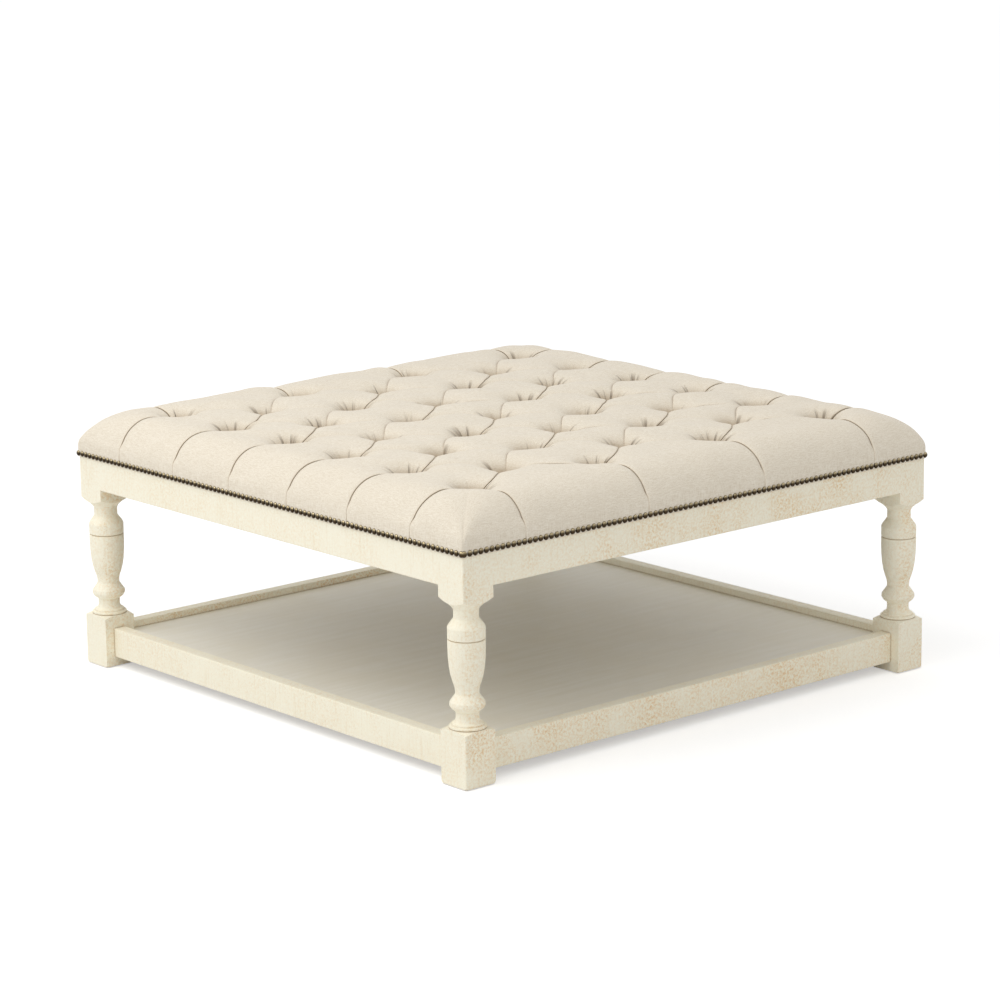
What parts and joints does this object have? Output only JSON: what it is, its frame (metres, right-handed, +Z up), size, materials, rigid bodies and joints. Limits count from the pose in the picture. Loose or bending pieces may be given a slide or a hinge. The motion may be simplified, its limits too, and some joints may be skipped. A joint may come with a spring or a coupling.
{
  "type": "ottoman coffee table",
  "caption": "Square coffee table with a deep-buttoned linen top nailed to a painted frame, turned legs and a low rimmed shelf.",
  "frame": {"origin": "centre of the footprint on the floor", "axes": "+Z up, -Y towards the front, +X to the right"},
  "size_m": [1.203, 1.203, 0.526],
  "materials": {
    "painted_wood": "cream antique paint, mottled and finely crackled, worn at the edges",
    "shelf_wood": "smooth grey-beige glaze, matte",
    "bare_wood": "plain unfinished pine",
    "linen": "natural off-white linen, plain weave with fine slubs",
    "foam": "cut foam, hidden",
    "dust_cloth": "thin black non-woven cloth",
    "glide_plastic": "moulded nylon",
    "steel": "zinc-plated screws",
    "antique_brass": "dark antique brass nails"
  },
  "bodies": {
    "root": {"apron_back": "painted_wood", "apron_front": "painted_wood", "apron_left": "painted_wood", "apron_right": "painted_wood", "brace_screws": "steel", "corner_brace_back_left": "bare_wood", "corner_brace_back_right": "bare_wood", "corner_brace_front_left": "bare_wood", "corner_brace_front_right": "bare_wood", "deck_board": "bare_wood", "deck_rail_left": "bare_wood", "deck_rail_right": "bare_wood", "dust_cover": "dust_cloth", "foam_pad": "foam", "foot_glides": "glide_plastic", "leg_back_left": "painted_wood", "leg_back_right": "painted_wood", "leg_front_left": "painted_wood", "leg_front_right": "painted_wood", "shelf_bearer": "bare_wood", "shelf_cleat_back": "bare_wood", "shelf_cleat_front": "bare_wood", "shelf_cleat_left": "bare_wood", "shelf_cleat_right": "bare_wood", "shelf_panel": "shelf_wood", "shelf_rail_back": "painted_wood", "shelf_rail_front": "painted_wood", "shelf_rail_left": "painted_wood", "shelf_rail_right": "painted_wood", "tuft_buttons": "linen", "tufted_cover": "linen"}
  },
  "joints": []
}
